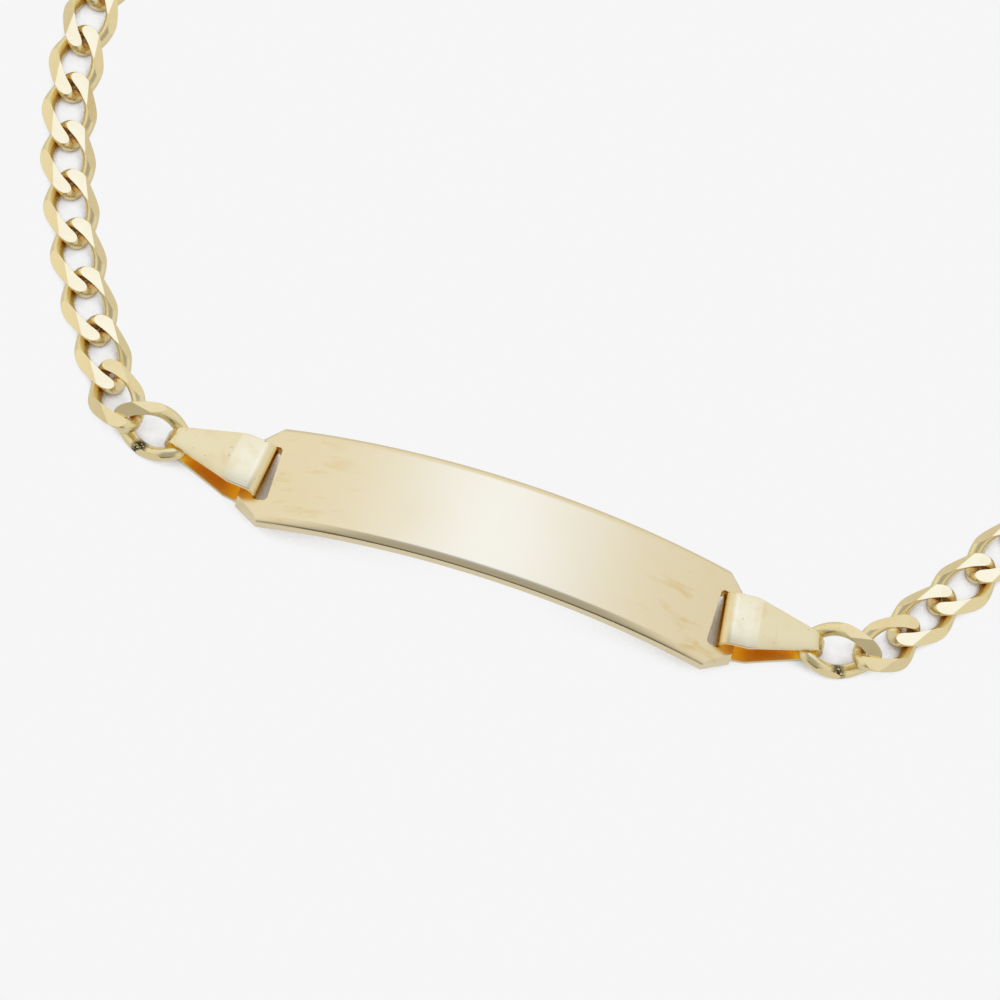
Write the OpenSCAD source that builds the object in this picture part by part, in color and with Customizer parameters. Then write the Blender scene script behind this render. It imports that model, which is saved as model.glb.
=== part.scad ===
// Id bracelet: a curved name plate, a folded bail at each end, and a cut curb chain on each side
// that closes at the back with a jump ring, a clasp and a second jump ring.
// X runs along the plate, Y from the plate to the clasp, Z up from the surface that it lies on.

/* [Plate] */
// Length of the plate, measured round its upper face
plate_l = 32; // [28:0.2:36]
// Width of the plate
plate_w = 6.3; // [5.5:0.1:8]
// Thickness of the plate
plate_t = 0.9; // [0.75:0.05:1.2]
// Radius of the upper face's bend
bend_r = 32; // [28:0.5:38]
// Radius of the rolled long edges
shoulder_r = 0.6; // [0.4:0.05:0.7]
// Angle that a long edge is rolled through
shoulder_a = 56; // [40:1:65]
// Length of the cut at each corner, along the plate
corner_l = 1.55; // [1:0.05:1.7]
// Width of the cut at each corner
corner_w = 1.2; // [0.8:0.05:1.25]
// Depth of the sloped edge along the corner cuts
edge_drop = 0.25; // [0.1:0.05:0.4]
// Width of the bar between the slot and the plate's end
bar_w = 0.8; // [0.7:0.05:1.1]
// Width of the slot, along the plate
slot_w = 0.9; // [0.88:0.02:1.1]
// Radius of the slot's corners
slot_r = 0.25; // [0.1:0.05:0.4]

/* [Bails] */
// Width of the bail where it passes through the slot
bail_w = 3.3; // [2.8:0.1:3.6]
// Width of the bail where its taper ends
neck_w = 1.3; // [1:0.05:1.5]
// Width of the bail at its tip, which passes through the first link
tip_w = 0.75; // [0.6:0.05:0.9]
// Thickness of the bail's strip
strip_t = 0.25; // [0.2:0.01:0.3]
// Distance from the slot's middle to the middle of the bail's tip fold
bail_reach = 5.5; // [5:0.05:6]
// Angle that the bail is turned towards the chain in its slot
bail_turn = 7; // [0:0.5:7.5]
// Inner radius of the fold at the tip
tip_r = 0.64; // [0.6:0.01:0.7]
// Inner radius of the fold over the slot
fold_r = 0.62; // [0.5:0.01:0.68]
// Clearance between the slot's ends and the bail
slot_gap = 0.13; // [0.1:0.01:0.2]

/* [Chain] */
// Wire diameter of a chain link
wire_d = 0.84; // [0.78:0.01:0.88]
// Outer length of a link
link_l = 5.12; // [4.9:0.02:5.4]
// Outer width of a link before it is cut
link_w = 3.38; // [3.2:0.02:3.6]
// Depth of the flat that is cut into the wire's upper side
flat_cut = 0.4; // [0.3:0.01:0.45]
// Width of the slanted cut along each side of a link
bevel_w = 0.7; // [0.5:0.01:0.8]
// Slant of the side cuts
bevel_a = 44; // [35:1:50]
// Play of one link inside the next
link_play = 0.24; // [0.2:0.01:0.3]
// Difference in level between two crossing wires, beyond the wire's diameter
level_gap = 0.16; // [0.12:0.01:0.2]
// Links on each side that follow the ten whose places are chosen
more_links = 12; // [12:1:13]

/* [Clasp] */
// Length of the clasp
clasp_l = 13.2; // [12:0.1:15]
// Diameter of the clasp's body
clasp_d = 2.6; // [2.2:0.1:3]
// Wire diameter of the clasp's eye and closed hook
eye_wire = 0.9; // [0.8:0.05:1]
// Outer diameter of the eye
eye_d = 4.1; // [3.9:0.1:4.6]
// Outer diameter of the closed hook
hook_d = 5.3; // [5:0.1:6]
// Wire diameter of the jump rings
ring_wire = 0.7; // [0.6:0.05:0.75]
// Outer diameter of the jump rings
ring_d = 4.9; // [4.7:0.1:5.2]
// Slope at which the jump rings lie
ring_slope = 45; // [43:1:47]

/* [Hidden] */
// Where the chain runs, seen from above: the direction of each step from one link's middle to the
// next one's, in degrees, chosen by hand. The steps after these turn by one constant angle.
step_dirs = [25.7, 59.5, 57.5, 61, 65, 69, 74, 80, 88];
// The two links that lean on the bail: heading, slope, roll, lift of the middle, share of a full step
lean = [
    [9.4, 2.5, 30, 0.57, 0.935],
    [56, -13, 12.5, 0.55, 0.94]
];
// The last link, which a jump ring lifts: heading, slope, roll, lift of the middle, share of a full step
last_lean = [176, 8.5, -5, 0.3, 0.98];

// Plate: its lower face's bend, the upright ends, and the slots
under_r = bend_r - plate_t;
plate_end_x = bend_r * sin(plate_l / 2 / bend_r * 180 / PI);
// Angle that the plate is swept past its ends, before it is cut to length
sweep_over = 1;
sweep_a = asin(plate_end_x / under_r) + sweep_over;
slot_out_x = plate_end_x - bar_w;
slot_x = slot_out_x - slot_w / 2;
slot_l = bail_w * cos(bail_turn) + strip_t * sin(bail_turn) + 2 * slot_gap;
corner_a = atan(corner_l / corner_w);
// Slope of the edge along the corner cuts
edge_slope = 45;
// Clearance of the bail's strip under the bar, and beside it
bar_gap = 0.25;
side_gap = 0.1;
// Height of the plate's middle, with the strip under its end bars on the surface
crown_z = bend_r - level_at(plate_end_x, under_r) + bar_gap + strip_t;
// Overlap of each cut past the face that it opens
cut_over = 1;

// Bail: middles of the folds of the strip's inner outline, along and up from the middle of the slot
bar_low_out = from_slot(plate_end_x, under_r);
// Room beside the bar for the turned strip
turn_room = bail_w / 2 * sin(bail_turn);
bar_low_in = from_slot(slot_out_x, under_r) - [turn_room + side_gap - bar_gap, 0];
// From the bar's upper inner edge to the middle of the fold over the slot, and on to the arch's
fold_shift = [0.36, -0.09];
arch_shift = [1.38, -0.13];
fold_at = from_slot(slot_out_x, bend_r) + fold_shift;
arch_at = fold_at + arch_shift;
// Clearance of the strip's tip above the surface
tip_lift = 0.1;
tip_at = [bail_reach, strip_t + tip_r + tip_lift];
// Where the bail's straight part ends, a little past the bar, where its tip is, and where its taper ends
straight_over = 0.7;
straight_x = plate_end_x - slot_x + straight_over;
tip_x = tip_at[0] + tip_r + strip_t;
neck_l = 0.75;
neck_x = tip_x - neck_l;
// Offset of the tip's middle from the bail's own, towards the viewer
tip_off = -0.1;

// Link: centre line half sizes, step, levels and the twist that makes neighbours clear each other
wire_r = wire_d / 2;
half_l = link_l / 2 - wire_r;
half_w = link_w / 2 - wire_r;
step = link_l - 2 * wire_d - link_play;
level = (wire_d + level_gap) / 2;
cross_c = step / 2 / half_l;
cross_s = sqrt(1 - cross_c * cross_c);
twist = asin(level / half_w / cross_s) / cross_c;
half_t = level + wire_r - flat_cut;
ridge_y = link_w / 2 - bevel_w;
cut_planes = [
    [[0, 0, 1], half_t],
    [[0, sin(bevel_a), cos(bevel_a)], ridge_y * sin(bevel_a) + half_t * cos(bevel_a)],
    [[0, -sin(bevel_a), cos(bevel_a)], ridge_y * sin(bevel_a) + half_t * cos(bevel_a)],
    [[0, 0, -1], half_t]
];
// Least wire left under a cut
skin = 0.05;
// Half the angle between the two points that a direction along the wire is taken from
tangent_gap = 0.05;
link_segments = 16;
wire_sides = 6;

// Chain: the first link's tip lies in the bail's fold, a little off its middle
tip_shift = [-0.3, -0.19];
first_link = [slot_x, 0] + bail_reach * heading(bail_turn) + tip_shift + half_l * heading(lean[0][0]);
chosen_links = len(step_dirs) + 1;
link_count = chosen_links + more_links;
ring_r = (ring_d - ring_wire) / 2;
// From the middle of the clasp's outermost wire to the jump ring's middle, along and towards the back
ring_seat = 0.3;
ring_aside = 0.8;
// Play of the last link on the jump ring, and the distance between their middles
ring_play = 0.95;
ring_reach = half_l + ring_r - wire_r - ring_wire / 2 - ring_play;
ring_x = (clasp_l - eye_wire) / 2 + ring_seat;
ring_z = ring_r * sin(ring_slope) + ring_wire / 2;
// The constant turn of the hidden steps lies between these two angles, which are halved this many times
turn_low = 4;
turn_high = 14;
turn_rounds = 30;
turn = solve_turn(turn_low, turn_high, turn_rounds);
centres = link_centres();
clasp_y = centres[link_count - 1][1];

// Clasp: middles of the eye and of the closed hook, and the curve of its body along its length
eye_x = (eye_d - clasp_l) / 2;
hook_x = (clasp_l - hook_d) / 2;
barrel_r = 4;

// The bracelet's extent across, which puts the origin under its middle
back_y = clasp_y + hook_d / 2;
mid_y = (back_y - plate_w / 2) / 2;

sides = ["left", "right"];
gold = [0.93, 0.83, 0.6];

// Height above the bend's middle of a face of radius r at this distance from the plate's middle
function level_at(x, r) = sqrt(r * r - x * x);
// The same place along and up, seen from the middle of the slot
function from_slot(x, r) = [x - slot_x, level_at(x, r) - bend_r + crown_z];
function heading(angle) = [cos(angle), sin(angle)];
function unit(v) = v / norm(v);
function link_name(side, i) = str("link_", side, "_", i < 10 ? "0" : "", i);

// Direction of step k, from link k to link k + 1
function step_dir(k, turn) =
    k <= len(step_dirs) ? step_dirs[k - 1] : step_dirs[len(step_dirs) - 1] + (k - len(step_dirs)) * turn;
function step_len(k) =
    k <= len(lean) ? step * lean[k - 1][4] : k == link_count - 1 ? step * last_lean[4] : step;

// Where the last link's middle lies along X when the hidden steps turn by this angle
function last_x(turn, k = 1) =
    k >= link_count ? first_link[0] : step_len(k) * cos(step_dir(k, turn)) + last_x(turn, k + 1);
function solve_turn(low, high, rounds) =
    rounds == 0 ? (low + high) / 2
    : last_x((low + high) / 2) > ring_x + ring_reach ? solve_turn((low + high) / 2, high, rounds - 1)
    : solve_turn(low, (low + high) / 2, rounds - 1);

// Middles of all links on the right side, one after another
function link_centres() = [
    for (k = 1, p = first_link; k <= link_count; p = p + step_len(k) * heading(step_dir(k, turn)), k = k + 1) p
];

// Height of a link's middle, and how it is turned: roll, slope and heading
function link_z(i) = half_t + (i <= len(lean) ? lean[i - 1][3] : i == link_count ? last_lean[3] : 0);
function link_pose(i) =
    i <= len(lean) ? [lean[i - 1][2], -lean[i - 1][1], lean[i - 1][0]]
    : i == link_count ? [last_lean[2], -last_lean[1], last_lean[0]]
    : [0, 0, (step_dir(i - 1, turn) + step_dir(i, turn)) / 2];

// Centre line of a twisted link, at angle t round it
function centre(t) = [
    half_l * cos(t),
    half_w * sin(t) * cos(twist * cos(t)),
    half_w * sin(t) * sin(twist * cos(t))
];
function tangent(t) = unit(centre(t + tangent_gap) - centre(t - tangent_gap));
function across(t) = unit(cross([0, 0, 1], tangent(t)));
function upward(t) = cross(tangent(t), across(t));

// A point of the section that lies inside every cut, found by stepping back from one cut after another
function core(p, t, i = 0) =
    i == len(cut_planes) ? p : core(step_back(p, t, cut_planes[i]), t, i + 1);
function step_back(p, t, plane) =
    let (over = p * plane[0] - plane[1] + skin,
         inward = (across(t) * plane[0]) * across(t) + (upward(t) * plane[0]) * upward(t))
    over > 0 ? p - over / (inward * plane[0]) * inward : p;

// How far the wire reaches from the core along a ray: to its round surface or to the nearest cut
function reach(q, ray, c) =
    let (d = q - c,
         b = d * ray,
         round_reach = -b + sqrt(b * b - d * d + wire_r * wire_r))
    min([round_reach, for (plane = cut_planes) plane[0] * ray > 0.001
        ? (plane[1] - q * plane[0]) / (plane[0] * ray) : round_reach]);

link_points = [
    for (i = [0:link_segments - 1])
        let (t = 360 * i / link_segments, c = centre(t), q = core(c, t))
        for (j = [0:wire_sides - 1])
            let (a = 360 * j / wire_sides, ray = cos(a) * across(t) + sin(a) * upward(t))
            q + reach(q, ray, c) * ray
];
link_faces = [
    for (i = [0:link_segments - 1])
        for (j = [0:wire_sides - 1])
            let (i2 = (i + 1) % link_segments * wire_sides, i1 = i * wire_sides, j2 = (j + 1) % wire_sides)
            each [[i1 + j, i1 + j2, i2 + j2], [i1 + j, i2 + j2, i2 + j]]
];

// Draws what belongs to one side: the right one as it is, the left one as its mirror image
module on_side(side) {
    mirror([side == "left" ? 1 : 0, 0, 0])
    translate([0, -mid_y, 0])
    children();
}

module round_ring(outer_d, wire) {
    rotate_extrude($fn = 96)
    translate([(outer_d - wire) / 2, 0])
    circle(d = wire, $fn = 48);
}

// Section of the plate, radius along X and width along Y, with both long edges rolled down
module plate_section() {
    flat_y = plate_w / 2 - shoulder_r * sin(shoulder_a);
    edge_t = plate_t - shoulder_r * (1 - cos(shoulder_a));
    translate([under_r, -flat_y])
    square([plate_t, 2 * flat_y]);
    translate([under_r, -plate_w / 2])
    square([edge_t, plate_w]);
    intersection() {
        translate([under_r, -plate_w / 2])
        square([plate_t, plate_w]);
        for (s = [-1, 1]) {
            translate([bend_r - shoulder_r, s * flat_y])
            circle(r = shoulder_r, $fn = 96);
        }
    }
}

// Takes one corner of the plate off, straight down
module corner_cut() {
    translate([plate_end_x - corner_l / 2, (plate_w - corner_w) / 2, 0])
    rotate([0, 0, corner_a])
    translate([0, -plate_w / 2, 0])
    cube([plate_w, plate_w, bend_r]);
}

// Slopes the upper edge along the corner cut, as the long edges are rolled
module corner_edge() {
    x = plate_end_x - corner_l / 2;
    translate([x, (plate_w - corner_w) / 2, level_at(x, bend_r) - edge_drop])
    rotate([0, asin(x / bend_r), 0])
    rotate([0, -edge_slope, corner_a])
    translate([0, -plate_w / 2, -plate_w / 2])
    cube(plate_w);
}

// The slot as a straight hole with round corners
module slot_cut() {
    translate([-slot_w / 2 + slot_r, -slot_l / 2, 0])
    cube([slot_w - 2 * slot_r, slot_l, bend_r]);
    translate([-slot_w / 2, -slot_l / 2 + slot_r, 0])
    cube([slot_w, slot_l - 2 * slot_r, bend_r]);
    for (x = [-1, 1]) {
        for (y = [-1, 1]) {
            translate([x * (slot_w / 2 - slot_r), y * (slot_l / 2 - slot_r), 0])
            cylinder(r = slot_r, h = bend_r, $fn = 48);
        }
    }
}

module plate() {
    color(gold)
    translate([0, -mid_y, crown_z - bend_r])
    difference() {
        rotate([90, 0, 0])
        rotate_extrude(angle = 2 * sweep_a, start = 90 - sweep_a, $fn = 180)
        plate_section();
        for (s = [0, 1]) {
            mirror([s, 0, 0]) {
                translate([plate_end_x, -plate_w, 0])
                cube([plate_w, 2 * plate_w, bend_r]);
                translate([slot_x, 0, 0])
                slot_cut();
                for (m = [0, 1]) {
                    mirror([0, m, 0]) {
                        corner_cut();
                        corner_edge();
                    }
                }
            }
        }
    }
}

// Inner outline of the bail's strip seen from the side: round the bar, over it and round the chain's tip
module bail_outline() {
    hull() {
        for (fold = [[bar_low_in, bar_gap], [bar_low_out, bar_gap], [fold_at, fold_r],
                     [arch_at, fold_r], [tip_at, tip_r]]) {
            translate(fold[0])
            circle(r = fold[1], $fn = 48);
        }
    }
}

// The bail from above: straight through the slot, then tapered to its tip
module bail_plan() {
    polygon([
        [-bail_w / 2, -bail_w / 2],
        [straight_x, -bail_w / 2],
        [neck_x, -neck_w / 2],
        [tip_x, tip_off - tip_w / 2],
        [tip_x, tip_off + tip_w / 2],
        [neck_x, neck_w / 2],
        [straight_x, bail_w / 2],
        [-bail_w / 2, bail_w / 2]
    ]);
}

module bail(side) {
    color(gold)
    on_side(side)
    translate([slot_x, 0, 0])
    rotate([0, 0, bail_turn])
    intersection() {
        rotate([90, 0, 0])
        linear_extrude(plate_w, center = true)
        difference() {
            offset(r = strip_t, $fn = 48)
            bail_outline();
            bail_outline();
        }
        translate([0, 0, -cut_over])
        linear_extrude(crown_z + 2 * cut_over)
        bail_plan();
    }
}

// One chain link where it lies in its row
module curb_link(side, i) {
    color(gold)
    on_side(side)
    translate([centres[i - 1][0], centres[i - 1][1], link_z(i)])
    rotate(link_pose(i))
    polyhedron(link_points, link_faces);
}

module jump_ring(side) {
    color(gold)
    on_side(side)
    translate([ring_x, clasp_y + ring_aside, ring_z])
    rotate([ring_slope, 0, 0])
    round_ring(ring_d, ring_wire);
}

// The clasp: an eye, a barrel shaped body and a closed hook in one piece
module clasp() {
    body_x = eye_x + (eye_d - eye_wire) / 2;
    body_l = hook_x - (hook_d - eye_wire) / 2 - body_x;
    color(gold)
    translate([0, clasp_y - mid_y, clasp_d / 2]) {
        translate([eye_x, 0, 0])
        round_ring(eye_d, eye_wire);
        translate([hook_x, 0, 0])
        round_ring(hook_d, eye_wire);
        translate([body_x, 0, 0])
        rotate([0, 90, 0])
        rotate_extrude($fn = 96)
        intersection() {
            square([clasp_d / 2, body_l]);
            translate([clasp_d / 2 - barrel_r, body_l / 2])
            circle(r = barrel_r, $fn = 180);
        }
    }
}

plate();
clasp();
for (side = sides) {
    bail(side);
    jump_ring(side);
    for (i = [1:link_count]) {
        curb_link(side, i);
    }
}
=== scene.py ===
import math

import bmesh
import bpy
from mathutils import Matrix, Vector


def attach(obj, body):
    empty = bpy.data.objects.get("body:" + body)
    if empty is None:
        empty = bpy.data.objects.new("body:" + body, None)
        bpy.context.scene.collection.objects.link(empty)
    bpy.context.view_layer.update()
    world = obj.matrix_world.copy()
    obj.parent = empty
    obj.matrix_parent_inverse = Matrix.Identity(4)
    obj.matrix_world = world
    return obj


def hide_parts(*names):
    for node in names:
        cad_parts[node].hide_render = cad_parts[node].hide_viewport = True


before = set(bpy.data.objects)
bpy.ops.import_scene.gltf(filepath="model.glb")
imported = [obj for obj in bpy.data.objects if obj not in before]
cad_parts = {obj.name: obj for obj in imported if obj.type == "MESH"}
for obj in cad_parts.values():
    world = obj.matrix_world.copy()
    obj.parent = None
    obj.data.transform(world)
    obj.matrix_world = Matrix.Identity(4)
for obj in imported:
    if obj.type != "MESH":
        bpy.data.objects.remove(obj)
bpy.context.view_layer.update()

bl_info = {
    "name": "Id bracelet dresser",
    "version": (1, 0, 0),
    "blender": (4, 5, 0),
    "location": "3D Viewport > Sidebar > Bracelet",
    "description": "Dresses the packed id bracelet: plate, bails, curb chain, rings and clasp",
    "category": "Object",
}

MM = 0.001
BODY = "root"
SIDES = ("left", "right")
UP = Vector((0, 0, 1))


# Sizes and colours that can be changed

def size(name, text, millimetres):
    return bpy.props.FloatProperty(name=name, description=text, default=millimetres * MM, min=0,
                                   precision=5, unit="LENGTH")


def offset(name, text, millimetres):
    return bpy.props.FloatProperty(name=name, description=text, default=millimetres * MM,
                                   precision=5, unit="LENGTH")


def angle(name, text, degrees):
    return bpy.props.FloatProperty(name=name, description=text, default=math.radians(degrees),
                                   unit="ROTATION")


def number(name, text, value):
    return bpy.props.FloatProperty(name=name, description=text, default=value)


def count(name, text, value):
    return bpy.props.IntProperty(name=name, description=text, default=value, min=1)


def colour(name, text, value):
    return bpy.props.FloatVectorProperty(name=name, description=text, default=value, size=3,
                                         min=0, subtype="COLOR")


class PlateSizes(bpy.types.PropertyGroup):
    length: size("Length", "Length measured round the upper face", 32)
    width: size("Width", "Width of the plate", 6.3)
    thickness: size("Thickness", "Thickness of the plate", 0.9)
    bend: size("Bend radius", "Radius of the upper face's bend", 32)
    shoulder: size("Shoulder radius", "Radius of the rolled long edges", 0.6)
    shoulder_roll: angle("Shoulder roll", "Angle that a long edge is rolled through", 56)
    corner_length: size("Corner length", "Length of the cut at each corner", 1.55)
    corner_width: size("Corner width", "Width of the cut at each corner", 1.2)
    edge_drop: size("Edge drop", "Depth of the sloped edge along the corner cuts", 0.25)
    bar: size("Bar", "Width of the bar between slot and plate end", 0.8)
    slot: size("Slot", "Width of the slot", 0.9)
    slot_round: size("Slot rounding", "Radius of the slot's corners", 0.25)
    slot_play: size("Slot play", "Clearance between slot and bail at each end", 0.13)
    bar_gap: size("Bar gap", "Clearance of the bail's strip under the bar", 0.25)
    rim: size("Rim", "Rounding of the plate's edges", 0.05)


class BailSizes(bpy.types.PropertyGroup):
    width: size("Width", "Width where the bail passes the slot", 3.3)
    neck: size("Neck", "Width where the taper ends", 1.3)
    tip: size("Tip", "Width at the tip", 0.75)
    tip_aside: offset("Tip offset", "Offset of the tip's middle", -0.1)
    neck_length: size("Neck length", "Length from the neck to the tip", 0.75)
    strip: size("Strip", "Thickness of the strip", 0.25)
    reach: size("Reach", "From the slot's middle to the tip fold's middle", 5.5)
    turn: angle("Turn", "Angle that the bail is turned towards the chain", 7)
    tip_fold: size("Tip fold", "Inner radius of the fold at the tip", 0.64)
    slot_fold: size("Slot fold", "Inner radius of the fold over the slot", 0.62)
    side_gap: size("Side gap", "Clearance beside the bar", 0.1)
    tip_lift: size("Tip lift", "Clearance of the tip above the surface", 0.1)
    straight: size("Straight part", "Straight part past the bar", 0.7)
    rim: size("Rim", "Rounding of the strip's edges", 0.04)


class ChainSizes(bpy.types.PropertyGroup):
    wire: size("Wire", "Wire diameter of a link", 0.84)
    length: size("Link length", "Outer length of a link", 5.12)
    width: size("Link width", "Outer width of a link before it is cut", 3.38)
    flat_cut: size("Flat cut", "Depth of the flat on a link's upper side", 0.4)
    bevel: size("Side cut", "Width of the slanted cut along each side", 0.7)
    bevel_slant: angle("Side slant", "Slant of the side cuts", 44)
    play: size("Play", "Play of one link in the next", 0.24)
    level_gap: size("Level gap", "Gap between two crossing wires", 0.16)
    links: count("Links", "Links on each side", 22)
    segments: count("Segments", "Segments round a link", 144)
    sides: count("Wire sides", "Sides of a link's wire", 36)


class ClaspSizes(bpy.types.PropertyGroup):
    length: size("Length", "Length of the clasp", 13.2)
    body: size("Body", "Diameter of the body", 2.6)
    wire: size("Wire", "Wire diameter of eye and hook", 0.9)
    eye: size("Eye", "Outer diameter of the eye", 4.1)
    hook: size("Hook", "Outer diameter of the closed hook", 5.3)
    barrel: size("Barrel", "Radius of the body's curve along its length", 4)
    ring_wire: size("Ring wire", "Wire diameter of the jump rings", 0.7)
    ring: size("Ring", "Outer diameter of the jump rings", 4.9)
    ring_slope: angle("Ring slope", "Slope at which the jump rings lie", 45)
    ring_seat: size("Ring seat", "From the clasp's outer wire to the ring's middle", 0.3)
    ring_aside: size("Ring aside", "Offset of the rings towards the back", 0.8)
    ring_play: size("Ring play", "Play of the last link on the ring", 0.95)


class FinishColours(bpy.types.PropertyGroup):
    plate: colour("Plate gold", "Pale gold of the plate", (0.90, 0.77, 0.49))
    plate_worn: colour("Worn gold", "Warmer gold of the plate's streaks", (0.82, 0.61, 0.28))
    bail: colour("Bail gold", "Gold of the bails", (0.90, 0.775, 0.46))
    flat: colour("Flat gold", "Gold of the polished cuts", (0.93, 0.78, 0.44))
    wire: colour("Wire gold", "Gold of the satin wire", (0.92, 0.77, 0.40))
    seam: colour("Seam grey", "Grey gold of the solder seams", (0.86, 0.82, 0.66))
    # Painted bounce light and shade: where metal closes in on metal, the colour turns to this deeper,
    # warmer gold.
    painted_bounce_shade: colour("Deep gold", "Gold of the places where metal faces metal", (0.80, 0.50, 0.13))
    # Painted reflection: the bail's inner sides get this orange for light bounced between the two
    # sides of the fold.
    inside: colour("Inside gold", "Gold of the inner sides of a bail", (0.95, 0.55, 0.08))
    fold: colour("Fold glow", "Warm light between the two sides of a fold", (0.17, 0.13, 0.005))
    dark: colour("Scratch brown", "Brown of deep scratches", (0.02, 0.014, 0.006))


class StageSettings(bpy.types.PropertyGroup):
    floor_light: number("Floor light", "Brightness of the pale floor", 0.921)
    floor_glow: number("Floor glow", "Brightness of the floor that the metal reflects", 0.70)
    floor_shade: colour("Floor shade", "Colour of the floor deep under the metal", (0.20, 0.115, 0.03))
    floor_size: size("Floor size", "Side of the floor", 1200)
    room: number("Room light", "Brightness of the soft light all round", 0.84)
    lean: number("Light lean", "How much brighter the left is than the right", 0.045)
    key: colour("Key colour", "Colour of the large light overhead", (0.20, 0.35, 0.88))
    key_tightness: number("Key tightness", "How narrow the light overhead is", 12.5)
    front: number("Front", "Brightness of the dim front of the room", 0.42)
    front_low: number("Front low", "Brightness of the front close to the horizon", 0.02)
    distance: size("Camera distance", "From the plate's middle to the camera", 590)
    elevation: angle("Camera elevation", "Height of the camera above the horizon", 67)
    roll: angle("Camera roll", "Roll of the camera", 17.8)
    scale: number("Scale", "Pixels that a millimetre of the plate takes", 17.0)
    anchor_x: number("Anchor right", "Pixels from the left to the plate's middle", 500.8)
    anchor_y: number("Anchor down", "Pixels from the top to the plate's middle", 525.6)


# Where things lie, worked out from the sizes as the solids are

STEP_DIRECTIONS = (25.7, 59.5, 57.5, 61, 65, 69, 74, 80, 88)
LEANING = ((9.4, 2.5, 30, 0.57, 0.935), (56, -13, 12.5, 0.55, 0.94))
LAST_LEANING = (176, 8.5, -5, 0.3, 0.98)
TIP_SHIFT = Vector((-0.3, -0.19)) * MM
FOLD_SHIFT = Vector((0.36, -0.09)) * MM
ARCH_SHIFT = Vector((1.38, -0.13)) * MM
TURN_RANGE = (4, 14)
TURN_ROUNDS = 30


def heading(degrees):
    return Vector((math.cos(math.radians(degrees)), math.sin(math.radians(degrees))))


class Layout:
    """Places that several pieces share, in metres, with the plate's middle at Y 0."""

    def __init__(self, scene):
        plate, bail, chain, clasp = (scene.bracelet_plate, scene.bracelet_bail,
                                     scene.bracelet_chain, scene.bracelet_clasp)
        self.under = plate.bend - plate.thickness
        self.end_x = plate.bend * math.sin(plate.length / 2 / plate.bend)
        self.slot_out_x = self.end_x - plate.bar
        self.slot_x = self.slot_out_x - plate.slot / 2
        self.slot_length = (bail.width * math.cos(bail.turn) + bail.strip * math.sin(bail.turn)
                            + 2 * plate.slot_play)
        self.crown = plate.bend - self.level(self.end_x, self.under) + plate.bar_gap + bail.strip
        self.wire = chain.wire / 2
        self.half_length = chain.length / 2 - self.wire
        self.half_width = chain.width / 2 - self.wire
        self.step = chain.length - 2 * chain.wire - chain.play
        self.strand = (chain.wire + chain.level_gap) / 2
        cross = self.step / 2 / self.half_length
        self.twist = math.asin(self.strand / self.half_width / math.sqrt(1 - cross * cross)) / cross
        self.half_height = self.strand + self.wire - chain.flat_cut
        self.ring = (clasp.ring - clasp.ring_wire) / 2
        self.ring_x = (clasp.length - clasp.wire) / 2 + clasp.ring_seat
        self.ring_reach = (self.half_length + self.ring - self.wire - clasp.ring_wire / 2
                           - clasp.ring_play)
        self.links = chain.links
        self.first = (Vector((self.slot_x, 0)) + bail.reach * heading(math.degrees(bail.turn))
                      + TIP_SHIFT + self.half_length * heading(LEANING[0][0]))
        low, high = TURN_RANGE
        for _ in range(TURN_ROUNDS):
            self.turn = (low + high) / 2
            if self.centres()[-1].x > self.ring_x + self.ring_reach:
                low = self.turn
            else:
                high = self.turn
        self.turn = (low + high) / 2
        self.middles = self.centres()
        self.clasp_y = self.middles[-1].y
        self.middle_y = (self.clasp_y + clasp.hook / 2 - plate.width / 2) / 2

    def level(self, x, radius):
        return math.sqrt(radius * radius - x * x)

    def from_slot(self, x, radius, bend):
        return Vector((x - self.slot_x, self.level(x, radius) - bend + self.crown))

    def direction(self, k):
        if k <= len(STEP_DIRECTIONS):
            return STEP_DIRECTIONS[k - 1]
        return STEP_DIRECTIONS[-1] + (k - len(STEP_DIRECTIONS)) * self.turn

    def share(self, k):
        if k <= len(LEANING):
            return LEANING[k - 1][4]
        return LAST_LEANING[4] if k == self.links - 1 else 1

    def centres(self):
        places = [self.first]
        for k in range(1, self.links):
            places.append(places[-1] + self.step * self.share(k) * heading(self.direction(k)))
        return places

    def link_matrix(self, i):
        """Where link i lies on the right side."""
        if i <= len(LEANING):
            turn, slope, roll, lift = LEANING[i - 1][:4]
        elif i == self.links:
            turn, slope, roll, lift = LAST_LEANING[:4]
        else:
            turn, slope, roll, lift = (self.direction(i - 1) + self.direction(i)) / 2, 0, 0, 0
        place = self.middles[i - 1]
        return (Matrix.Translation((place.x, place.y - self.middle_y, self.half_height + lift * MM))
                @ Matrix.Rotation(math.radians(turn), 4, "Z")
                @ Matrix.Rotation(math.radians(-slope), 4, "Y")
                @ Matrix.Rotation(math.radians(roll), 4, "X"))

    def centre_line(self, t):
        lean = self.twist * math.cos(t)
        return Vector((self.half_length * math.cos(t),
                       self.half_width * math.sin(t) * math.cos(lean),
                       self.half_width * math.sin(t) * math.sin(lean)))


MIRROR = Matrix.Scale(-1, 4, (1, 0, 0))

# Light. Directions are unit vectors, so these limits run from 0 (level) to 1 (straight that way).
KEY_DIRECTION = Vector((0, 0.39, 0.92)).normalized()
FRONT_START, FRONT_SOFTNESS = 0.30, 0.24
FRONT_SIDE, FRONT_SIDE_SOFTNESS = 0.75, 0.40
FRONT_RISE = (0.10, 0.42)

# How open a place is, 0 to 1, where the painted shade and glow begin and end
FLOOR_REACH, FLOOR_OPEN = 6 * MM, (0.18, 0.45)
DEEP_REACH, DEEP_OPEN, GLOW_OPEN = 1.5 * MM, (0.08, 0.50), (0.45, 1.0)

SCRATCH_PLACE = (-0.1, -1.36, 0.0)
PICTURE = 1000
SENSOR = 36


# Mesh making

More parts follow.
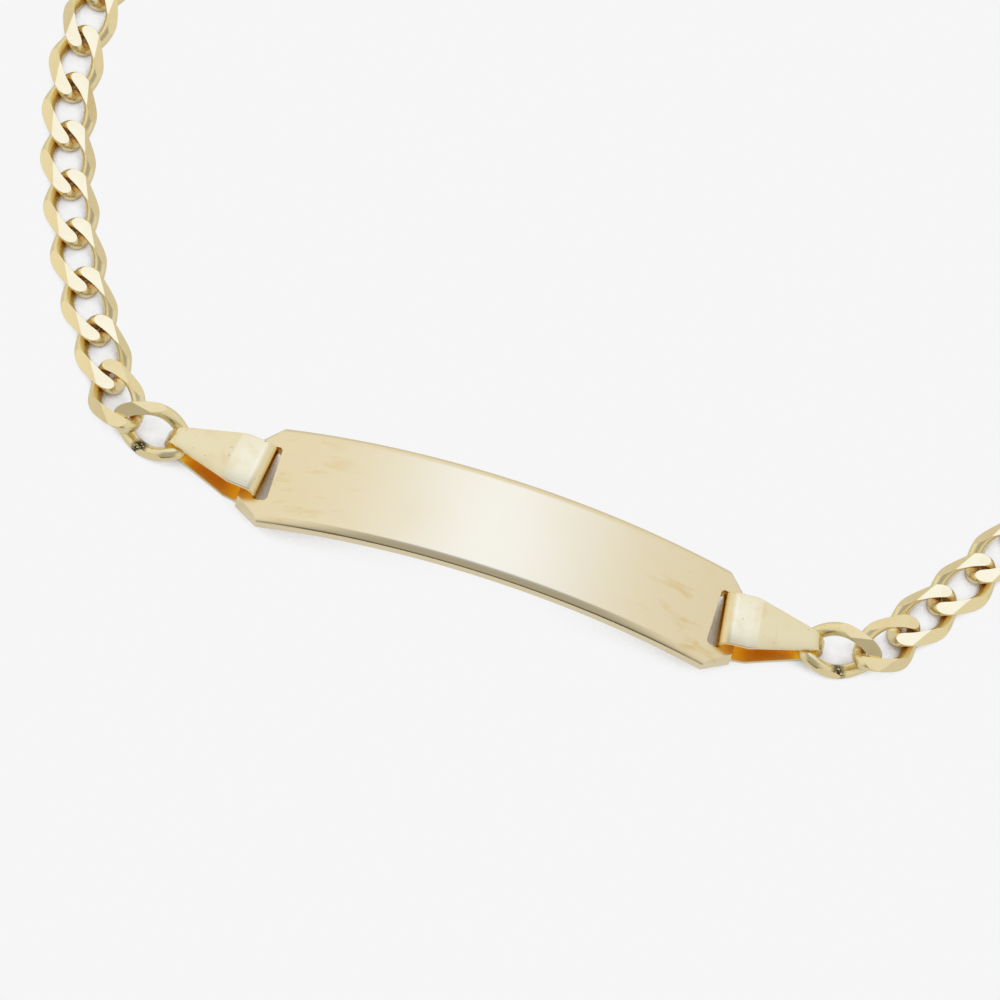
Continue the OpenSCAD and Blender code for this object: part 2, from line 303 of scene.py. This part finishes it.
def piece(name, bm, materials, smooth_angle=24):
    """Turns a bmesh into an object whose sharp edges stay sharp."""
    bmesh.ops.recalc_face_normals(bm, faces=bm.faces)
    mesh = bpy.data.meshes.new(name)
    bm.to_mesh(mesh)
    bm.free()
    for material in materials:
        mesh.materials.append(material)
    mesh.polygons.foreach_set("use_smooth", [True] * len(mesh.polygons))
    mesh.set_sharp_from_angle(angle=math.radians(smooth_angle))
    made = bpy.data.objects.new(name, mesh)
    bpy.context.scene.collection.objects.link(made)
    return made


def even_normals(made):
    """Lets the large faces keep their own direction, so that flats look flat."""
    weigh = made.modifiers.new("Even normals", "WEIGHTED_NORMAL")
    weigh.mode = "FACE_AREA"
    weigh.weight = 50
    weigh.keep_sharp = True


def dress(made, slot, *nodes):
    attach(made, BODY)
    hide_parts(*nodes)


def cut_flat(bm, point, normal, material=0):
    """Takes everything in front of a plane off and closes each opening with a flat face."""
    geometry = bm.verts[:] + bm.edges[:] + bm.faces[:]
    cut = bmesh.ops.bisect_plane(bm, geom=geometry, plane_co=point, plane_no=normal,
                                 clear_outer=True, dist=1e-8)
    rim = [e for e in cut["geom_cut"] if isinstance(e, bmesh.types.BMEdge) and e.is_boundary]
    for face in bmesh.ops.edgeloop_fill(bm, edges=rim)["faces"]:
        face.material_index = material


def skin_loops(bm, loops, closed=True):
    """Joins neighbouring rings of points with quads."""
    rings = [[bm.verts.new(p) for p in loop] for loop in loops]
    pairs = list(zip(rings, rings[1:]))
    if closed:
        pairs.append((rings[-1], rings[0]))
    for a, b in pairs:
        for j in range(len(a)):
            k = (j + 1) % len(a)
            bm.faces.new((a[j], a[k], b[k], b[j]))
    return rings


def add_tube(bm, middle, tilt, radius, wire, segments=128, sides=28):
    """A closed round ring of wire."""
    turn = Matrix.Translation(middle) @ Matrix.Rotation(tilt, 4, "X")
    loops = []
    for i in range(segments):
        t = 2 * math.pi * i / segments
        out = Vector((math.cos(t), math.sin(t), 0))
        loops.append([turn @ (out * (radius + wire * math.cos(a)) + UP * wire * math.sin(a))
                      for a in (2 * math.pi * j / sides for j in range(sides))])
    skin_loops(bm, loops)


# Shader maths

class Value:
    """A socket, so that sums and products of sockets can be written as such."""

    def __init__(self, tree, socket):
        self.tree = tree
        self.socket = socket

    def math(self, operation, *others, clamp=False):
        return self.tree.node("ShaderNodeMath", {"operation": operation, "use_clamp": clamp},
                              self, *others)

    def __add__(self, other):
        return self.math("ADD", other)

    def __mul__(self, other):
        return self.math("MULTIPLY", other)

    def __sub__(self, other):
        return self.math("SUBTRACT", other)

    def __rsub__(self, other):
        return self.tree.node("ShaderNodeMath", {"operation": "SUBTRACT"}, other, self)

    __radd__ = __add__
    __rmul__ = __mul__

    def exp(self):
        return self.math("EXPONENT")

    def clamped(self):
        return self.math("ADD", 0, clamp=True)

    def step(self, low, high):
        """0 below low, 1 above high, smooth between."""
        return self.tree.node("ShaderNodeMapRange", {"interpolation_type": "SMOOTHSTEP"},
                              self, low, high, 0, 1)

    def dot(self, direction):
        return self.tree.node("ShaderNodeVectorMath", {"operation": "DOT_PRODUCT"}, self,
                              tuple(direction), out="Value")

    def stretched(self, scale):
        return self.tree.node("ShaderNodeVectorMath", {"operation": "MULTIPLY"}, self, scale)


class Shader:
    """The node tree of one material or of the world."""

    def __init__(self, owner):
        owner.use_nodes = True
        self.tree = owner.node_tree
        self.tree.nodes.clear()

    def node(self, kind, settings=None, *values, out=0, **named):
        made = self.tree.nodes.new(kind)
        for key, value in (settings or {}).items():
            setattr(made, key, value)
        places = [s for s in made.inputs if s.enabled]
        for place, value in [*zip(places, values),
                             *((made.inputs[k.replace("_", " ")], v) for k, v in named.items())]:
            if isinstance(value, Value):
                self.tree.links.new(value.socket, place)
            elif value is not None:
                place.default_value = value
        return Value(self, made.outputs[out]) if made.outputs else made

    def mix(self, factor, first, second):
        made = self.tree.nodes.new("ShaderNodeMix")
        made.data_type = "RGBA"
        for place, value in zip((made.inputs[0], made.inputs[6], made.inputs[7]),
                                (factor, first, second)):
            if isinstance(value, Value):
                self.tree.links.new(value.socket, place)
            else:
                place.default_value = (*value, 1) if isinstance(value, tuple) else value
        return Value(self, made.outputs[2])

    def noise(self, where, scale, detail=3.0, roughness=0.5):
        return self.node("ShaderNodeTexNoise", {"noise_dimensions": "3D"}, out="Fac", Vector=where,
                         Scale=scale, Detail=detail, Roughness=roughness)


def place_in_millimetres(shader):
    """The place on the object in its own frame, in millimetres."""
    where = shader.node("ShaderNodeTexCoord", out="Object")
    return where.stretched((1 / MM, 1 / MM, 1 / MM))


def gold(name, tint, roughness, marks, painted_bounce_shade, glow, rim=0.035):
    """Metal with rounded looking edges, with painted bounce light and shade, a deeper and warmer gold,
    where it faces other metal closely. marks adds this finish's own colour, gloss and relief. glow is
    a little light of its own, in place of light that bounces about within a fold."""
    material = bpy.data.materials.new(name)
    shader = Shader(material)
    where = place_in_millimetres(shader)
    colour_out, gloss, relief, depth = marks(shader, where, tint, roughness)
    # Painted bounce light and shade: where other metal is close, the colour is turned to the deeper,
    # warmer gold.
    open_sky = shader.node("ShaderNodeAmbientOcclusion", {"samples": 16}, out="AO",
                           Distance=DEEP_REACH)
    colour_out = shader.mix(open_sky.step(*DEEP_OPEN), painted_bounce_shade, colour_out)
    # Painted glow: light of its own where the metal is closed in by other metal.
    painted_glow = shader.mix(open_sky.step(*GLOW_OPEN), glow, (0.0, 0.0, 0.0))
    edge = shader.node("ShaderNodeBevel", {"samples": 6}, rim * MM)
    normal = shader.node("ShaderNodeBump", None, Strength=1.0, Distance=depth * MM, Height=relief,
                         Normal=edge)
    surface = shader.node("ShaderNodeBsdfPrincipled", None, Base_Color=colour_out, Metallic=1.0,
                          Roughness=gloss, Normal=normal, Emission_Color=painted_glow,
                          Emission_Strength=1.0)
    shader.node("ShaderNodeOutputMaterial", None, surface)
    return material


def plate_marks(worn, dark):
    def marks(shader, where, tint, roughness):
        far = where.dot((1, 0, 0))
        drawn = shader.noise(where.stretched((0.32, 1.3, 0.6)), 1.0, 5.0, 0.6)
        fine = shader.noise(where.stretched((0.5, 26.0, 3.0)), 1.0, 3.0)
        soft = shader.noise(where, 0.16, 2.0)
        ends = far.math("ABSOLUTE").step(7.5, 13.0)
        streak = drawn.step(0.52, 0.70) * ends
        mask = (streak * 0.85 + soft.step(0.5, 0.75) * 0.10).clamped()
        specks = shader.noise(where, 5.5, 2.0).step(0.755, 0.80)
        tone = shader.mix(mask, tint, worn)
        tone = shader.mix(specks * 0.35, tone, dark)
        gloss = roughness + soft * 0.05 + (fine - 0.5) * 0.05
        return tone, gloss, fine * 0.5 + drawn * 0.5, 0.0012
    return marks


def bail_marks(worn, dark):
    def marks(shader, where, tint, roughness):
        cloud = shader.noise(where, 0.8, 2.0)
        drawn = shader.noise(where.stretched((0.6, 9.0, 0.6)), 1.0, 3.0)
        specks = shader.noise(where, 4.2, 1.0).step(0.735, 0.76)
        tone = shader.mix(cloud.step(0.45, 0.75) * 0.45, tint, worn)
        tone = shader.mix(specks * 0.5, tone, dark)
        gloss = roughness + cloud * 0.05
        return tone, gloss, drawn, 0.0015
    return marks


def flat_marks(worn):
    def marks(shader, where, tint, roughness):
        cloud = shader.noise(where, 0.9, 2.0)
        drag = shader.noise(where.stretched((1.2, 14.0, 1.2)), 1.0, 2.0)
        tone = shader.mix(cloud.step(0.4, 0.8) * 0.25, tint, worn)
        return tone, roughness + drag * 0.05, drag, 0.0012
    return marks


def wire_marks(seam, dark):
    def marks(shader, where, tint, roughness):
        grain = shader.noise(where, 3.4, 3.0)
        drawn = shader.noise(where.stretched((1.5, 9.0, 9.0)), 1.0, 2.0)
        pit = shader.noise(where, 6.0, 2.0).step(0.66, 0.74)
        tone = shader.mix(grain.step(0.45, 0.7) * 0.35, tint, seam)
        tone = shader.mix(pit * 0.25, tone, dark)
        gloss = roughness + grain * 0.16
        return tone, gloss, grain * 0.7 + drawn * 0.3, 0.008
    return marks


def scratched_marks(seam, dark, place):
    """Wire with one dark rough patch where a tool has slipped."""
    inner = wire_marks(seam, dark)

    def marks(shader, where, tint, roughness):
        tone, gloss, relief, depth = inner(shader, where, tint, roughness)
        away = shader.node("ShaderNodeVectorMath", {"operation": "DISTANCE"}, where, place,
                           out="Value")
        torn = shader.noise(where.stretched((2.0, 5.0, 5.0)), 1.6, 4.0, 0.7)
        patch = (1 - away.step(0.45, 0.80)) * torn.step(0.42, 0.48)
        tone = shader.mix(patch * 0.95, tone, dark)
        return tone, gloss, relief + patch * -0.8, 0.02
    return marks


# Pieces

class BRACELET_OT_stage(bpy.types.Operator):
    """Sets the pale floor, the soft studio light and the camera"""

    bl_idname = "bracelet.stage"
    bl_label = "Stage"

    def execute(self, context):
        stage, layout = context.scene.bracelet_stage, Layout(context.scene)
        self.camera(context, stage, layout)
        self.floor(stage)
        self.light(context, stage)
        context.scene.view_settings.view_transform = "Standard"
        return {"FINISHED"}

    def camera(self, context, stage, layout):
        data = bpy.data.cameras.new("Camera")
        made = bpy.data.objects.new("Camera", data)
        context.scene.collection.objects.link(made)
        forward = Vector((0, math.cos(stage.elevation), -math.sin(stage.elevation)))
        level = Vector((1, 0, 0))
        rise = Vector((0, math.sin(stage.elevation), math.cos(stage.elevation)))
        right = math.cos(stage.roll) * level + math.sin(stage.roll) * rise
        above = math.cos(stage.roll) * rise - math.sin(stage.roll) * level
        aim = Vector((0, -layout.middle_y, layout.crown))
        half = PICTURE / 2
        aside = ((half - stage.anchor_x) * right + (stage.anchor_y - half) * above)
        aside = aside / stage.scale * MM
        place = aim + aside - forward * stage.distance
        made.matrix_world = Matrix.Translation(place) @ Matrix(
            (right, above, -forward)).transposed().to_4x4()
        data.sensor_width = SENSOR
        data.lens = stage.scale * stage.distance / MM / PICTURE * SENSOR
        data.clip_start, data.clip_end = 0.01, 10
        context.scene.camera = made

    def floor(self, stage):
        bm = bmesh.new()
        bmesh.ops.create_grid(bm, x_segments=8, y_segments=8, size=stage.floor_size / 2)
        material = bpy.data.materials.new("pale_floor")
        shader = Shader(material)
        seen = shader.node("ShaderNodeLightPath", out="Is Camera Ray")
        open_sky = shader.node("ShaderNodeAmbientOcclusion", {"samples": 8}, out="AO",
                               Distance=FLOOR_REACH).step(*FLOOR_OPEN)
        strength = seen * (stage.floor_light - stage.floor_glow) + stage.floor_glow
        tone = shader.mix(open_sky, tuple(stage.floor_shade), (1.0, 1.0, 1.0))
        glow = shader.node("ShaderNodeEmission", None, tone, strength)
        shader.node("ShaderNodeOutputMaterial", None, glow)
        made = piece("floor", bm, [material])
        made.location.z = -0.00001

    def light(self, context, stage):
        world = bpy.data.worlds.new("studio")
        context.scene.world = world
        shader = Shader(world)
        way = shader.node("ShaderNodeTexCoord", out="Generated")
        x, y, z = (way.dot(axis) for axis in ((1, 0, 0), (0, 1, 0), (0, 0, 1)))
        middle = (FRONT_SIDE - x.math("ABSOLUTE")).step(0, FRONT_SIDE_SOFTNESS)
        forward = (FRONT_START - y).step(0, FRONT_SOFTNESS) * middle
        dim = stage.front_low + (stage.front - stage.front_low) * z.step(*FRONT_RISE)
        room = stage.room - x * stage.lean
        light = room * (1 - forward) + dim * forward
        key = ((way.dot(KEY_DIRECTION) - 1) * stage.key_tightness).exp()
        fill = shader.node("ShaderNodeBackground", None, (1, 1, 1, 1), light)
        glow = shader.node("ShaderNodeBackground", None, (*stage.key, 1), key)
        total = shader.node("ShaderNodeAddShader", None, fill, glow)
        shader.node("ShaderNodeOutputWorld", None, total)


class BRACELET_OT_plate(bpy.types.Operator):
    """Builds the curved name plate with its rolled edges, cut corners and slots"""

    bl_idname = "bracelet.plate"
    bl_label = "Name plate"

    stations = 260
    roll_steps = 18
    corner_steps = 8
    cutter_heights = (-0.01, 0.02)

    def execute(self, context):
        sizes, layout = context.scene.bracelet_plate, Layout(context.scene)
        bm = bmesh.new()
        reach = math.asin(layout.end_x / layout.under) + math.radians(1)
        section = self.section(sizes, layout)
        base = layout.crown - sizes.bend
        loops = []
        for i in range(self.stations + 1):
            a = reach * (2 * i / self.stations - 1)
            loops.append([Vector((r * math.sin(a), y - layout.middle_y, base + r * math.cos(a)))
                          for y, r in section])
        rings = skin_loops(bm, loops, closed=False)
        bm.faces.new(rings[0])
        bm.faces.new(rings[-1])
        bmesh.ops.recalc_face_normals(bm, faces=bm.faces)
        turn = math.atan(sizes.corner_length / sizes.corner_width)
        x = layout.end_x - sizes.corner_length / 2
        y = (sizes.width - sizes.corner_width) / 2
        lean = math.asin(x / sizes.bend)
        for sx in (-1, 1):
            cut_flat(bm, (sx * layout.end_x, 0, 0), (sx, 0, 0))
            for sy in (-1, 1):
                flip = Vector((sx, sy, 1))
                out = heading(math.degrees(turn)).to_3d()
                point = Vector((sx * x, sy * y - layout.middle_y, 0))
                cut_flat(bm, point, out * flip)
                point.z = base + layout.level(x, sizes.bend) - sizes.edge_drop
                way = Matrix.Rotation(lean, 3, "Y") @ (out + UP).normalized()
                cut_flat(bm, point, way * flip)
        metals = finishes(context.scene.bracelet_finish)
        made = piece("name_plate", bm, [metals["plate"]], 30)
        for sx in (-1, 1):
            self.cut_slot(made, sizes, layout, sx)
        rim = made.modifiers.new("Rim", "BEVEL")
        rim.width = sizes.rim
        rim.segments = 3
        rim.limit_method = "ANGLE"
        rim.angle_limit = math.radians(30)
        rim.harden_normals = False
        even_normals(made)
        dress(made, "plate_gold", "plate")
        return {"FINISHED"}

    def section(self, sizes, layout):
        """Outline across the plate: how far aside, and how far from the bend's middle."""
        flat = sizes.width / 2 - sizes.shoulder * math.sin(sizes.shoulder_roll)
        upper = [(flat + sizes.shoulder * math.sin(a),
                  sizes.bend - sizes.shoulder + sizes.shoulder * math.cos(a))
                 for a in (sizes.shoulder_roll * i / self.roll_steps
                           for i in range(self.roll_steps + 1))]
        right = [(sizes.width / 2, layout.under), *reversed(upper)]
        return right + [(-y, r) for y, r in reversed(right)]

    def cut_slot(self, made, sizes, layout, side):
        bm = bmesh.new()
        outline = []
        for start, qx, qy in ((0, 1, 1), (90, -1, 1), (180, -1, -1), (270, 1, -1)):
            for i in range(self.corner_steps + 1):
                a = math.radians(start + 90 * i / self.corner_steps)
                outline.append((side * layout.slot_x + qx * (sizes.slot / 2 - sizes.slot_round)
                                + sizes.slot_round * math.cos(a),
                                qy * (layout.slot_length / 2 - sizes.slot_round)
                                + sizes.slot_round * math.sin(a) - layout.middle_y))
        skin_loops(bm, [[Vector((x, y, z)) for x, y in outline] for z in self.cutter_heights],
                   closed=False)
        bm.verts.ensure_lookup_table()
        bm.faces.new(bm.verts[:len(outline)])
        bm.faces.new(bm.verts[len(outline):])
        cutter = piece("slot_cutter", bm, [])
        cut = made.modifiers.new("Slot", "BOOLEAN")
        cut.operation = "DIFFERENCE"
        cut.solver = "EXACT"
        cut.object = cutter
        with bpy.context.temp_override(object=made, active_object=made):
            bpy.ops.object.modifier_apply(modifier=cut.name)
        bpy.data.objects.remove(cutter)
        made.data.set_sharp_from_angle(angle=math.radians(30))


class BRACELET_OT_bails(bpy.types.Operator):
    """Builds the folded, tapered strips between the plate and the chains"""

    bl_idname = "bracelet.bails"
    bl_label = "Bails"

    fold_steps = 720
    rim_steps = 3
    longest = 0.12
    shortest = 0.004

    def execute(self, context):
        metals = finishes(context.scene.bracelet_finish)
        for side in SIDES:
            bm = bmesh.new()
            skin_loops(bm, self.loops(context.scene))
            sides = 4 * (self.rim_steps + 1)
            # Of the faces round the strip, this one is on the inner side of the fold.
            for n, face in enumerate(bm.faces):
                # The inner side takes the fold material, whose orange is a painted reflection of the
                # bail's own gold.
                face.material_index = int(n % sides == self.rim_steps)
            layout = Layout(context.scene)
            place = (Matrix.Translation((layout.slot_x, -layout.middle_y, 0))
                     @ Matrix.Rotation(context.scene.bracelet_bail.turn, 4, "Z"))
            bmesh.ops.transform(bm, matrix=place, verts=bm.verts)
            if side == "left":
                bmesh.ops.transform(bm, matrix=MIRROR, verts=bm.verts)
            made = piece("bail_strip_" + side, bm, [metals["bail"], metals["fold"]], 50)
            even_normals(made)
            dress(made, "bail_gold", "bail_" + side)
        return {"FINISHED"}

    def loops(self, scene):
        plate, bail, layout = scene.bracelet_plate, scene.bracelet_bail, Layout(scene)
        room = bail.width / 2 * math.sin(bail.turn)
        fold = layout.from_slot(layout.slot_out_x, plate.bend, plate.bend) + FOLD_SHIFT
        folds = [
            (layout.from_slot(layout.slot_out_x, layout.under, plate.bend)
             - Vector((room + bail.side_gap - plate.bar_gap, 0)), plate.bar_gap),
            (layout.from_slot(layout.end_x, layout.under, plate.bend), plate.bar_gap),
            (fold, bail.slot_fold),
            (fold + ARCH_SHIFT, bail.slot_fold),
            (Vector((bail.reach, bail.strip + bail.tip_fold + bail.tip_lift)), bail.tip_fold),
        ]
        tip_x = bail.reach + bail.tip_fold + bail.strip
        plan = [(layout.end_x - layout.slot_x + bail.straight, bail.width / 2, 0),
                (tip_x - bail.neck_length, bail.neck / 2, 0),
                (tip_x, bail.tip / 2, bail.tip_aside)]
        stations, last = [], None
        for i in range(self.fold_steps + 1):
            out = heading(360 * i / self.fold_steps)
            best = max(range(len(folds)), key=lambda k: folds[k][0].dot(out) + folds[k][1])
            middle, radius = folds[best]
            if last is not None and best != last:
                start = folds[last][0] + folds[last][1] * out
                end = middle + radius * out
                parts = max(2, int((end - start).length / (self.longest * MM)))
                stations += [(start.lerp(end, j / parts), out) for j in range(parts)]
            if i < self.fold_steps:
                stations.append((middle + radius * out, out))
            last = best
        kept = [stations[0]]
        for s in stations[1:]:
            if (s[0] - kept[-1][0]).length > self.shortest * MM:
                kept.append(s)
        rim = bail.rim
        loops = []
        for point, out in kept:
            ring = []
            for start, high, side in ((180, 0, -1), (270, 0, 1), (0, 1, 1), (90, 1, -1)):
                for j in range(self.rim_steps + 1):
                    a = math.radians(start + 90 * j / self.rim_steps)
                    height = (bail.strip - rim if high else rim) + rim * math.sin(a)
                    place = point + out * height
                    half, shift = self.half_width(place.x, plan)
                    ring.append(Vector((place.x, shift + side * (half - rim) + rim * math.cos(a),
                                        place.y)))
            loops.append(ring)
        return loops

    def half_width(self, x, plan):
        if x <= plan[0][0]:
            return plan[0][1], plan[0][2]
        for (x0, w0, s0), (x1, w1, s1) in zip(plan, plan[1:]):
            if x <= x1:
                share = (x - x0) / (x1 - x0)
                return w0 + (w1 - w0) * share, s0 + (s1 - s0) * share
        return plan[-1][1], plan[-1][2]


class BRACELET_OT_chain(bpy.types.Operator):
    """Builds the twisted curb links with their polished cuts above and below"""

    bl_idname = "bracelet.chain"
    bl_label = "Curb chain"

    seam_at = 146
    hinge_share = 0.7
    end_lean = math.radians(10)

    def execute(self, context):
        layout, metals = Layout(context.scene), finishes(context.scene.bracelet_finish)
        plain = self.link_mesh(context.scene, layout, 0)
        end = self.link_mesh(context.scene, layout, self.end_lean)
        for side in SIDES:
            for i in range(1, layout.links + 1):
                name = f"{side}_{i:02d}"
                bm = bmesh.new()
                bm.from_mesh(plain if i > 1 else end)
                matrix = layout.link_matrix(i)
                if side == "left":
                    bmesh.ops.transform(bm, matrix=MIRROR, verts=bm.verts)
                    matrix = MIRROR @ matrix @ MIRROR
                made = piece("curb_link_" + name, bm,
                             [metals["wire" if i > 1 else "scratched"], metals["flat"]], 16)
                made.matrix_world = matrix
                even_normals(made)
                dress(made, "chain_gold", "link_" + name)
        bpy.data.meshes.remove(plain)
        bpy.data.meshes.remove(end)
        return {"FINISHED"}

    def link_mesh(self, scene, layout, lean):
        """One link. A lean tips its upper cuts about a line near one end and spares the other."""
        sizes = scene.bracelet_chain
        loops = []
        for i in range(sizes.segments):
            t = 2 * math.pi * i / sizes.segments
            tangent = (layout.centre_line(t + 1e-3) - layout.centre_line(t - 1e-3)).normalized()
            across = UP.cross(tangent).normalized()
            above = tangent.cross(across)
            away = math.degrees(t) - self.seam_at
            radius = layout.wire * (1 - 0.10 * math.exp(-(away / 1.6) ** 2)
                                    + 0.03 * math.exp(-((away - 5) / 3) ** 2))
            place = layout.centre_line(t)
            loops.append([place + radius * (math.cos(a) * across + math.sin(a) * above)
                          for a in (2 * math.pi * j / sizes.sides for j in range(sizes.sides))])
        bm = bmesh.new()
        skin_loops(bm, loops)
        bmesh.ops.recalc_face_normals(bm, faces=bm.faces)
        ridge = sizes.width / 2 - sizes.bevel
        slant = sizes.bevel_slant
        tip = Matrix.Rotation(lean, 3, "Y")
        hinge = self.hinge_share * layout.half_length
        cut_flat(bm, (hinge, 0, layout.half_height), tip @ UP, 1)
        cut_flat(bm, (0, 0, -layout.half_height), (0, 0, -1), 1)
        for side in (-1, 1):
            cut_flat(bm, (hinge, side * ridge, layout.half_height),
                     tip @ Vector((0, side * math.sin(slant), math.cos(slant))), 1)
        mesh = bpy.data.meshes.new("curb_link")
        bm.to_mesh(mesh)
        bm.free()
        return mesh


class BRACELET_OT_rings(bpy.types.Operator):
    """Builds the jump rings between the chains and the clasp"""

    bl_idname = "bracelet.rings"
    bl_label = "Jump rings"

    def execute(self, context):
        layout, sizes = Layout(context.scene), context.scene.bracelet_clasp
        metals = finishes(context.scene.bracelet_finish)
        height = layout.ring * math.sin(sizes.ring_slope) + sizes.ring_wire / 2
        for side in SIDES:
            x = layout.ring_x * (-1 if side == "left" else 1)
            bm = bmesh.new()
            add_tube(bm, (x, layout.clasp_y + sizes.ring_aside - layout.middle_y, height),
                     sizes.ring_slope, layout.ring, sizes.ring_wire / 2)
            made = piece("jump_ring_wire_" + side, bm, [metals["wire"]], 40)
            dress(made, "clasp_gold", "jump_ring_" + side)
        return {"FINISHED"}


class BRACELET_OT_clasp(bpy.types.Operator):
    """Builds the clasp with its eye, its body and its closed hook"""

    bl_idname = "bracelet.clasp"
    bl_label = "Clasp"

    body_steps = 40
    body_sides = 72

    def execute(self, context):
        layout, sizes = Layout(context.scene), context.scene.bracelet_clasp
        metals = finishes(context.scene.bracelet_finish)
        y, z = layout.clasp_y - layout.middle_y, sizes.body / 2
        eye_x, hook_x = (sizes.eye - sizes.length) / 2, (sizes.length - sizes.hook) / 2
        bm = bmesh.new()
        add_tube(bm, (eye_x, y, z), 0, (sizes.eye - sizes.wire) / 2, sizes.wire / 2)
        add_tube(bm, (hook_x, y, z), 0, (sizes.hook - sizes.wire) / 2, sizes.wire / 2)
        start = eye_x + (sizes.eye - sizes.wire) / 2
        end = hook_x - (sizes.hook - sizes.wire) / 2
        middle, half = (start + end) / 2, (end - start) / 2
        loops = []
        for i in range(self.body_steps + 1):
            along = half * (2 * i / self.body_steps - 1)
            radius = sizes.body / 2 - sizes.barrel + math.sqrt(sizes.barrel ** 2 - along ** 2)
            loops.append([Vector((middle + along, y + radius * math.cos(a),
                                  z + radius * math.sin(a)))
                          for a in (2 * math.pi * j / self.body_sides
                                    for j in range(self.body_sides))])
        rings = skin_loops(bm, loops, closed=False)
        bm.faces.new(rings[0])
        bm.faces.new(rings[-1])
        made = piece("clasp_body", bm, [metals["bail"]], 40)
        even_normals(made)
        dress(made, "clasp_gold", "clasp")
        return {"FINISHED"}


FINISHES = {}


def finishes(tints):
    """The metals, made once."""
    if not FINISHES:
        worn, seam, dark = tuple(tints.plate_worn), tuple(tints.seam), tuple(tints.dark)
        scratch = scratched_marks(seam, dark, SCRATCH_PLACE)
        fold, none = tuple(tints.fold), (0.0, 0.0, 0.0)
        for name, tint, roughness, marks, glow in (
                ("plate", tints.plate, 0.16, plate_marks(worn, dark), none),
                ("bail", tints.bail, 0.17, bail_marks(worn, dark), none),
                # Painted reflection and glow: the bail's inner sides in orange, with a little light of
                # their own.
                ("fold", tints.inside, 0.30, bail_marks(worn, dark), fold),
                ("flat", tints.flat, 0.10, flat_marks(worn), none),
                ("wire", tints.wire, 0.20, wire_marks(seam, dark), none),
                ("scratched", tints.wire, 0.16, scratch, none)):
            FINISHES[name] = gold(name + "_gold", tuple(tint), roughness, marks,
                                  tuple(tints.painted_bounce_shade), glow)
    return FINISHES


class BRACELET_PT_panel(bpy.types.Panel):
    """Lists the bracelet's pieces"""

    bl_idname = "BRACELET_PT_panel"
    bl_label = "Id bracelet"
    bl_space_type = "VIEW_3D"
    bl_region_type = "UI"
    bl_category = "Bracelet"

    def draw(self, context):
        for operator in OPERATORS:
            self.layout.operator(operator.bl_idname)
        for name in GROUPS:
            box = self.layout.box()
            settings = getattr(context.scene, name)
            for key in type(settings).__annotations__:
                box.prop(settings, key)


OPERATORS = (BRACELET_OT_stage, BRACELET_OT_plate, BRACELET_OT_bails, BRACELET_OT_chain,
             BRACELET_OT_rings, BRACELET_OT_clasp)
GROUPS = {"bracelet_plate": PlateSizes, "bracelet_bail": BailSizes, "bracelet_chain": ChainSizes,
          "bracelet_clasp": ClaspSizes, "bracelet_finish": FinishColours,
          "bracelet_stage": StageSettings}


def register():
    for kind in (*GROUPS.values(), *OPERATORS, BRACELET_PT_panel):
        bpy.utils.register_class(kind)
    for name, kind in GROUPS.items():
        setattr(bpy.types.Scene, name, bpy.props.PointerProperty(type=kind))


def unregister():
    for name in GROUPS:
        delattr(bpy.types.Scene, name)
    for kind in (BRACELET_PT_panel, *reversed(OPERATORS), *GROUPS.values()):
        bpy.utils.unregister_class(kind)


def main():
    register()
    for operator in OPERATORS:
        group, call = operator.bl_idname.split(".")
        getattr(getattr(bpy.ops, group), call)()


if __name__ == "__main__":
    main()
